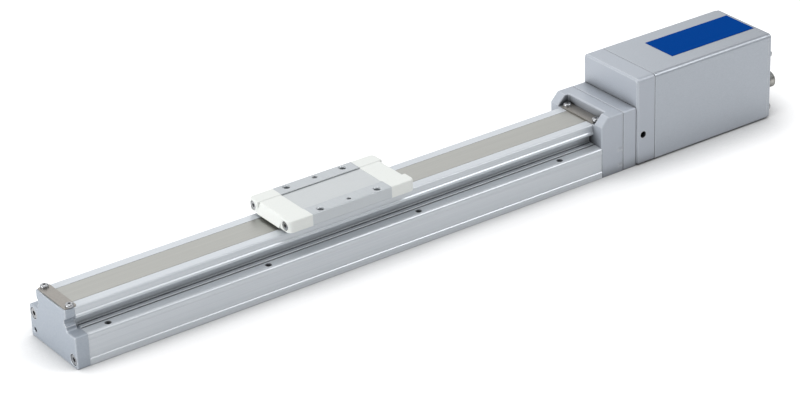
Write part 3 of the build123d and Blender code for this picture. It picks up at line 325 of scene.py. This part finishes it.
def cast_polyurethane():
    """Red coupling spider of cast polyurethane: waxy and faintly see-through."""
    material, tree, shader, place = start("cast polyurethane")
    plain(shader, 0.0, 1.5)
    cloud = speckle(tree, place, 2.0)
    tint(tree, shader, cloud, "9a2320", "a82a26")
    sheen_of(tree, shader, cloud, 0.36, 0.48)
    return material


def moulded_black_rubber():
    """Moulded rubber bumpers: dull black with a dusty grain."""
    material, tree, shader, place = start("moulded black rubber")
    plain(shader, 0.0, 1.52)
    grain = speckle(tree, place, 0.5)
    tint(tree, shader, grain, "1e1e1e", "2a2a29")
    sheen_of(tree, shader, grain, 0.7, 0.85)
    relief(tree, shader, grain, 0.02, 0.4)
    return material


def ferrite_rubber():
    """Extruded magnet strip of ferrite in rubber: brown-black and flat."""
    material, tree, shader, place = start("extruded ferrite rubber")
    plain(shader, 0.0, 1.6)
    grain = speckle(tree, place, 0.4, (0.2, 1, 1))
    tint(tree, shader, grain, "2b2623", "38322d")
    sheen_of(tree, shader, grain, 0.55, 0.7)
    return material


def moulded_acetal():
    """Acetal band guides: slippery and slightly waxy white."""
    material, tree, shader, place = start("moulded acetal")
    plain(shader, 0.0, 1.48)
    cloud = speckle(tree, place, 1.5)
    tint(tree, shader, cloud, "dcdcd6", "e4e4de")
    sheen_of(tree, shader, cloud, 0.28, 0.38)
    return material


def pressed_felt():
    """Grey wool felt: matted fibres that lie every way."""
    material, tree, shader, place = start("pressed wool felt")
    plain(shader, 0.0)
    fibres = speckle(tree, place, 0.25, detail=8.0)
    tint(tree, shader, fibres, "5a5a58", "7c7c79")
    sheen_of(tree, shader, fibres, 0.9, 1.0)
    relief(tree, shader, fibres, 0.15, 0.6)
    return material


def die_cast_bell():
    """Die cast motor bells: bright, slightly cloudy aluminium."""
    material, tree, shader, place = start("die cast motor bell")
    plain(shader, 1.0)
    cloud = speckle(tree, place, 2.5)
    tint(tree, shader, cloud, "a5a7a9", "b8babc")
    sheen_of(tree, shader, cloud, 0.35, 0.5)
    return material


def stacked_laminations():
    """Black lacquered stator laminations, half a millimetre each. The wave texture turns a coordinate
    into twenty radians for each unit, so the scale gives one wave for each sheet."""
    material, tree, shader, place = start("lacquered stator laminations")
    plain(shader, 0.2)
    sheet, radians_per_unit = 0.5 * MM, 20.0
    scale = math.tau / sheet / radians_per_unit
    mapped = add(tree, "ShaderNodeMapping", Vector=place, Scale=(scale, scale, scale)).outputs[0]
    sheets = add(
        tree, "ShaderNodeTexWave", {"bands_direction": "X"}, Vector=mapped, Scale=1.0
    ).outputs["Fac"]
    tint(tree, shader, sheets, "1c1c1e", "303033")
    sheen_of(tree, shader, sheets, 0.35, 0.5)
    relief(tree, shader, sheets, 0.05, 0.5)
    return material


def ground_rotor_steel():
    """Rotor and encoder magnet, ground to size."""
    material, tree, shader, place = start("ground rotor steel")
    plain(shader, 1.0)
    rings = speckle(tree, place, 0.3, (1, 0.05, 0.05))
    tint(tree, shader, rings, "8f9092", "a6a7a9")
    sheen_of(tree, shader, rings, 0.25, 0.38)
    return material


def green_solder_resist():
    """Circuit boards under green solder resist, with copper showing as a faint pattern."""
    material, tree, shader, place = start("green solder resist")
    plain(shader, 0.0, 1.5)
    tracks = speckle(tree, place, 3.0, (1, 0.3, 1), 0.0)
    tint(tree, shader, tracks, "0f4a27", "1a6336", 0.46, 0.52)
    sheen_of(tree, shader, tracks, 0.25, 0.35)
    return material


def turned_brass():
    """Brass standoffs turned from hexagon bar."""
    material, tree, shader, place = start("turned brass")
    plain(shader, 1.0)
    rings = speckle(tree, place, 0.3, (0.05, 0.05, 1))
    tint(tree, shader, rings, "c2a15a", "d4b46c")
    sheen_of(tree, shader, rings, 0.2, 0.32)
    return material


def nickel_plated_brass():
    """Turned connector shells with bright nickel plating."""
    material, tree, shader, place = start("nickel plated brass")
    plain(shader, 1.0)
    rings = speckle(tree, place, 0.4, (1, 0.08, 0.08))
    tint(tree, shader, rings, "b3b1ab", "c6c4be")
    sheen_of(tree, shader, rings, 0.2, 0.3)
    return material


def black_nylon_insert():
    """Black glass-filled nylon of the connector inserts."""
    material, tree, shader, place = start("black nylon insert")
    plain(shader, 0.0, 1.53)
    grain = speckle(tree, place, 0.5)
    tint(tree, shader, grain, "161617", "202021")
    sheen_of(tree, shader, grain, 0.4, 0.55)
    return material


def blue_printed_film():
    """Polyester film printed blue on its back: an even colour under a smooth, faintly pebbled face."""
    material, tree, shader, place = start("blue printed polyester film")
    plain(shader, 0.0, 1.5)
    shader.inputs["Specular IOR Level"].default_value = 0.005
    pebble = speckle(tree, place, 0.8)
    tint(tree, shader, pebble, "003d8c", "004191")
    sheen_of(tree, shader, pebble, 0.46, 0.56)
    relief(tree, shader, pebble, 0.006, 0.2)
    return material


FINISHES = {
    extruded_anodised_aluminium: ["rail"],
    painted_die_casting: ["end_plate"],
    bead_blasted_anodised_aluminium: ["bearing_block", "coupling_housing", "motor_flange"],
    drawn_cover_aluminium: ["motor_cover", "rear_cover"],
    milled_table_aluminium: ["table_block"],
    brushed_panel_aluminium: ["table_panel"],
    machined_carriage_aluminium: ["carriage"],
    moulded_white_resin: ["table_cap_left", "table_cap_right"],
    rolled_stainless_band: ["seal_band"],
    plated_stopper_steel: ["band_stopper_left", "band_stopper_right"],
    zinc_plated_steel: [
        "end_plate_screws", "band_stopper_screws", "rail_to_block_screws", "bearing_retainer_screws",
        "housing_screws", "motor_screws", "tie_screws", "guide_rail_screws", "ball_nut_screws",
        "guide_block_screws", "carriage_screws", "table_cap_screws",
    ],
    ground_bearing_steel: [
        "end_bearing", "fixed_bearings", "bearing_retainer", "bearing_lock_nut", "ball_screw",
        "ball_nut", "guide_rail", "guide_blocks",
    ],
    turned_hub_aluminium: ["coupling_screw_hub", "coupling_motor_hub"],
    cast_polyurethane: ["coupling_spider"],
    moulded_black_rubber: ["stroke_bumpers"],
    ferrite_rubber: ["band_magnet_strips"],
    moulded_acetal: ["band_guides"],
    pressed_felt: ["band_wipers"],
    die_cast_bell: ["motor_front_bell", "motor_rear_bell"],
    stacked_laminations: ["motor_stator"],
    ground_rotor_steel: ["motor_rotor", "encoder_magnet"],
    green_solder_resist: ["controller_board", "encoder_board"],
    turned_brass: ["board_standoffs"],
    nickel_plated_brass: ["power_connector", "signal_connector"],
    black_nylon_insert: ["connector_inserts"],
    blue_printed_film: ["label_panel"],
}

MATERIALS = {}
for finish, nodes in FINISHES.items():
    MATERIALS[finish.__name__] = finish()
    for node in nodes:
        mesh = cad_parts[node].data
        mesh.materials.clear()
        mesh.materials.append(MATERIALS[finish.__name__])


# Surfaces worked out with numpy

def surface(name, grid, wrap_rows=False, wrap_columns=False, ends=False):
    """Mesh over a grid of points, rows by columns by XYZ. Either way may wrap round, and ends closes
    the first and last rows of a tube with flat faces."""
    rows, columns = grid.shape[:2]
    index = np.arange(rows * columns).reshape(rows, columns)
    last_row = rows if wrap_rows else rows - 1
    last_column = columns if wrap_columns else columns - 1
    here = index[:last_row]
    below = np.roll(index, -1, 0)[:last_row]
    corners = [here, np.roll(here, -1, 1), np.roll(below, -1, 1), below]
    faces = np.stack([corner[:, :last_column] for corner in corners], -1).reshape(-1, 4).tolist()
    if ends:
        faces += [index[0][::-1].tolist(), index[-1].tolist()]
    mesh = bpy.data.meshes.new(name)
    mesh.from_pydata(grid.reshape(-1, 3).tolist(), [], faces)
    mesh.update()
    piece = bpy.data.objects.new(name, mesh)
    bpy.context.scene.collection.objects.link(piece)
    return piece


def band_strip(name, x, z, half_width, thickness):
    """A flat strip carried along a path in X and Z: its section is a thin rectangle, four points
    round, turned to stand square to the path at each station."""
    along = np.stack([np.gradient(x), np.gradient(z)], -1)
    along /= np.linalg.norm(along, axis=1, keepdims=True)
    normal = np.stack([-along[:, 1], along[:, 0]], -1) * thickness / 2
    y = np.array([-1, 1, 1, -1]) * half_width
    side = np.array([-1, -1, 1, 1])
    grid = np.empty((len(x), 4, 3))
    grid[..., 0] = x[:, None] + side * normal[:, :1]
    grid[..., 1] = y
    grid[..., 2] = z[:, None] + side * normal[:, 1:]
    return surface(name, grid, wrap_columns=True, ends=True)


# The band: one flat strip in the rail, and the part of it that rises inside the table

band_thickness = 0.3 * MM
band_half_width = float(BAND[1][1])
band_bottom, band_top = float(BAND[0][2]), float(BAND[1][2])
band_x = np.linspace(float(BAND[0][0]), float(BAND[1][0]), 3)
band_z = np.full(3, band_bottom + band_thickness / 2)
flat_band = band_strip("flat_band", band_x, band_z, band_half_width, band_thickness)
flat_band.data.materials.append(MATERIALS["rolled_stainless_band"])
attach(flat_band, "body")
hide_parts("seal_band")

raised_half_length = 43.0 * MM
ramp_foot, ramp_length = 44.0 * MM, 10.5 * MM
foot_above_flat = 1.6


def raised_height(reach):
    """Height of the raised band at each distance from the table's middle: foot + (crest - foot) (3 s^2 -
    2 s^3), where s is the share of the ramp that lies behind, from 0 at its foot to 1 on the flat top."""
    share = np.clip((ramp_foot - np.abs(reach)) / ramp_length, 0.0, 1.0)
    crest = band_top - band_thickness / 2
    foot = band_bottom + band_thickness * foot_above_flat
    return foot + (crest - foot) * (3 * share ** 2 - 2 * share ** 3)


table_middle = float(TABLE[0][0] + TABLE[1][0]) / 2
reach = np.linspace(-raised_half_length, raised_half_length, 120)
raised_band = band_strip(
    "raised_band", table_middle + reach, raised_height(reach), band_half_width, band_thickness
)
raised_band.data.materials.append(MATERIALS["rolled_stainless_band"])
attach(raised_band, "table")
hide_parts("seal_band")


# The ball screw: plain journals and a round groove that climbs twelve millimetres a turn

def lathe_grid(x, radius, y, z, columns):
    """Points on a surface round the X axis through y and z: station by station, radius as a function
    of the station and the angle, given as an array of stations by columns."""
    angle = np.linspace(0, math.tau, columns, endpoint=False)
    grid = np.empty((len(x), columns, 3))
    grid[..., 0] = x[:, None]
    grid[..., 1] = y + radius * np.cos(angle)
    grid[..., 2] = z + radius * np.sin(angle)
    return grid


def helix_phase(x, columns, lead):
    """How far each point is from the groove's middle, in turns from -0.5 to 0.5, for a right-hand
    helix: the groove's angle grows by one turn over each lead along X."""
    angle = np.linspace(0, 1, columns, endpoint=False)
    return (x[:, None] / lead - angle + 0.5) % 1.0 - 0.5


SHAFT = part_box("ball_screw")
lead = 12.0 * MM
screw_radius, left_journal_radius, right_journal_radius = 4.0 * MM, 2.5 * MM, 3.0 * MM
thick_start, thick_end = -193.0 * MM, 223.2 * MM
plain_left, plain_right, run_in_length = 8 * MM, 12 * MM, 4 * MM
groove_depth, groove_half_width = 0.75 * MM, 2.4 * MM
shaft_chamfer, step = 0.4 * MM, 0.01 * MM
shaft_columns = 40


def grooved_radius(x):
    """Radius of the shaft by station and column: R - d sqrt(1 - (u / w)^2) in the groove of depth d and
    half width w, u being the distance along X to the groove's middle, and R elsewhere. The groove runs
    out before both ends of the thick part."""
    from_groove = helix_phase(x, shaft_columns, lead) * lead
    groove = groove_depth * np.sqrt(np.clip(1 - (from_groove / groove_half_width) ** 2, 0, 1))
    from_plain = np.minimum(x - thick_start - plain_left, thick_end - plain_right - x)
    run_in = np.clip(from_plain / run_in_length, 0, 1)[:, None]
    radius = screw_radius - groove * run_in
    radius[x < thick_start] = left_journal_radius
    radius[x > thick_end] = right_journal_radius
    radius[[0, -1]] -= shaft_chamfer
    return radius


shaft_start, shaft_end = float(SHAFT[0][0]), float(SHAFT[1][0])
shaft_x = np.concatenate([
    [shaft_start, shaft_start + shaft_chamfer, thick_start - step],
    np.linspace(thick_start, thick_end, 1300),
    [thick_end + step, shaft_end - shaft_chamfer, shaft_end],
])
shaft_grid = lathe_grid(shaft_x, grooved_radius(shaft_x), 0.0, SCREW_Z, shaft_columns)
shaft = surface("threaded_shaft", shaft_grid, wrap_columns=True, ends=True)
shaft.data.materials.append(MATERIALS["ground_bearing_steel"])
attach(shaft, "screw")
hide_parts("ball_screw")


# Connector shells: hexagon collar, a barrel with a one millimetre thread, and a stepped mouth. Sizes are
# in millimetres, and places along X count from the rear cover's outer face.

shell_columns = 72
barrel_end, inner_end = 10.0, -2.9
collar_half_width, collar_corner_radius = 7.0, 7.75
thread_from, thread_to, thread_pitch = 2.2, 9.4, 1.0
thread_radius, thread_depth, thread_run_out = 5.95, 0.45, 0.6
neck, mouth, bore = 5.5, 4.72, 4.0


def profile_rings(profile, rear):
    """Places along X in metres, and a ring of radii for each point of a profile in millimetres."""
    x = [rear + place * MM for place, radius in profile]
    return x, np.stack([np.broadcast_to(radius * MM, shell_columns) for place, radius in profile])


def connector_shell(node, name):
    """A closed profile turned about the connector's axis: out along the thread, whose radius falls and
    rises once per pitch along a right-hand helix, over the rim, and back along the bore. The collar's
    radius follows a hexagon: half its width over the cosine of the angle to the nearest flat, with its
    corners turned off."""
    low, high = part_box(node)
    y = float(low[1] + high[1]) / 2
    z = float(low[2] + high[2]) / 2
    rear = float(high[0]) - barrel_end * MM
    angle = np.linspace(0, math.tau, shell_columns, endpoint=False)
    nearest = (angle + math.pi / 6) % (math.pi / 3) - math.pi / 6
    hexagon = np.minimum(collar_half_width / np.cos(nearest), collar_corner_radius)
    collar_x, collar = profile_rings([
        (inner_end, 4.75), (inner_end, neck), (0.01, neck), (0.01, hexagon - 0.2), (0.2, hexagon),
        (1.4, hexagon), (1.6, hexagon - 0.25), (1.6, neck),
    ], rear)
    thread_x = np.linspace(rear + thread_from * MM, rear + thread_to * MM, 100)
    turn = np.abs(helix_phase(thread_x, shell_columns, thread_pitch * MM)) * 2
    from_end = np.minimum(thread_x - thread_x[0], thread_x[-1] - thread_x)
    fade = np.clip(from_end / (thread_run_out * MM), 0, 1)[:, None]
    thread = (thread_radius - thread_depth * (1 - turn) * fade) * MM
    rim_x, rim = profile_rings([
        (9.6, 5.75), (barrel_end, 5.35), (barrel_end, 4.85), (9.7, mouth), (0.5, mouth), (0.5, bore),
        (inner_end, bore),
    ], rear)
    x = np.concatenate([collar_x, thread_x, rim_x])
    radius = np.concatenate([collar, thread, rim])
    grid = lathe_grid(x, radius, y, z, shell_columns)
    shell = surface(name, grid, wrap_rows=True, wrap_columns=True)
    shell.data.materials.append(MATERIALS["nickel_plated_brass"])
    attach(shell, "body")
    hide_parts(node)


connector_shell("power_connector", "power_connector_shell")
connector_shell("signal_connector", "signal_connector_shell")


# Studio

FLOOR_HALF_WIDTH = 6.0
# Reach and depth of the painted contact shadow that ambient occlusion puts on the floor round the part, and
# the lift to white that fades there too
SHADOW_REACH = 45 * MM
CONTACT = 0.45  # open share of the floor close under the part, where its shadow is full
PAINTED_SHADOW_DARKEST = 0.7
WHITENING = 0.32
MIRRORED_WHITENING = 0.2  # how much of it the part's reflections see


def scalar(tree, operation, first, second):
    """Result of a sum or product of two numbers."""
    return add(tree, "ShaderNodeMath", {"operation": operation}, i0=first, i1=second).outputs[0]


def pale_floor():
    """Paper sweep: matt, so that it keeps the shadow, with a painted contact shadow from ambient occlusion
    that darkens it close round the part, and lifted to white for the camera and for reflections where
    nothing stands near it."""
    material, tree, shader, place = start("white paper floor")
    grain = speckle(tree, place, 2.0)
    tint(tree, shader, grain, "f4f4f4", "f6f6f6")
    shader.inputs["Roughness"].default_value = 0.9
    shader.inputs["Specular IOR Level"].default_value = 0.1
    # Painted contact shadow: the floor's colour is darker where the part hides its sky
    near = add(tree, "ShaderNodeAmbientOcclusion", {"samples": 8}, Distance=SHADOW_REACH).outputs["AO"]
    shade = add(tree, "ShaderNodeMapRange", Value=near, From_Min=CONTACT, To_Min=PAINTED_SHADOW_DARKEST)
    darken(tree, shader, shade.outputs[0])
    # The lift to white also fades near the part, which deepens the painted contact shadow
    lift = add(
        tree, "ShaderNodeMapRange", Value=near, From_Min=CONTACT, To_Min=0.0, To_Max=WHITENING
    ).outputs[0]
    rays = add(tree, "ShaderNodeLightPath").outputs
    mirrored = scalar(tree, "MULTIPLY", rays["Is Glossy Ray"], MIRRORED_WHITENING)
    seen = scalar(tree, "ADD", rays["Is Camera Ray"], mirrored)
    glow = scalar(tree, "MULTIPLY", seen, lift)
    white = add(tree, "ShaderNodeEmission", Color=(1, 1, 1, 1), Strength=glow).outputs[0]
    both = add(tree, "ShaderNodeAddShader", i0=shader.outputs[0], i1=white)
    tree.links.new(both.outputs[0], tree.nodes["Material Output"].inputs["Surface"])
    return material


sides = (-FLOOR_HALF_WIDTH, FLOOR_HALF_WIDTH)
floor = surface("floor", np.array([[[x, y, 0.0] for x in sides] for y in sides]))
floor.data.materials.append(pale_floor())


def lamp(name, place, target, size, power):
    """Soft box that looks at a point."""
    data = bpy.data.lights.new(name, "AREA")
    data.shape = "RECTANGLE"
    data.size, data.size_y = size
    data.energy = power
    light = bpy.data.objects.new(name, data)
    light.location = place
    light.rotation_euler = (Vector(target) - Vector(place)).to_track_quat("-Z", "Y").to_euler()
    light.visible_camera = False
    bpy.context.scene.collection.objects.link(light)


lamp("overhead_soft_box", place=(-0.2, 0.05, 1.7), target=(0.0, 0.0, 0.0), size=(1.4, 1.0), power=12)
lamp("back_soft_box", place=(0.2, 1.8, 1.1), target=(0.1, 0.0, 0.0), size=(3.4, 1.3), power=14)
lamp("edge_soft_box", place=(1.15, -0.95, 1.5), target=(0.1, 0.0, 0.0), size=(0.8, 0.7), power=10)
lamp("end_soft_box", place=(-1.7, 0.1, 0.34), target=(-0.1, 0.0, 0.03), size=(1.2, 0.5), power=16)

SKY_COLOUR, SKY_STRENGTH = "f2f4f7", 0.38

world = bpy.data.worlds.new("studio")
bpy.context.scene.world = world
world.use_nodes = True
sky = world.node_tree.nodes["Background"].inputs
sky["Color"].default_value = linear(SKY_COLOUR)
sky["Strength"].default_value = SKY_STRENGTH


# Camera at the photograph's angle

AZIMUTH, ELEVATION, ROLL = math.radians(34.77), math.radians(27.12), math.radians(-2.0)
PLACE = Vector((-0.9188, -1.4127, 0.9001))
SENSOR_WIDTH_MM, FOCAL_LENGTH_MM = 36.0, 128.92

camera = bpy.data.cameras.new("camera")
camera.sensor_width = SENSOR_WIDTH_MM
camera.lens = FOCAL_LENGTH_MM
view = bpy.data.objects.new("camera", camera)
forward = Vector((
    math.sin(AZIMUTH) * math.cos(ELEVATION), math.cos(AZIMUTH) * math.cos(ELEVATION), -math.sin(ELEVATION)
))
level = Vector((math.cos(AZIMUTH), -math.sin(AZIMUTH), 0.0))
up = level.cross(forward)
right = level * math.cos(ROLL) + up * math.sin(ROLL)
up = right.cross(forward)
view.matrix_world = Matrix((
    (right.x, up.x, -forward.x, PLACE.x),
    (right.y, up.y, -forward.y, PLACE.y),
    (right.z, up.z, -forward.z, PLACE.z),
    (0, 0, 0, 1),
))
bpy.context.scene.collection.objects.link(view)
bpy.context.scene.camera = view
bpy.context.scene.view_settings.view_transform = "Standard"
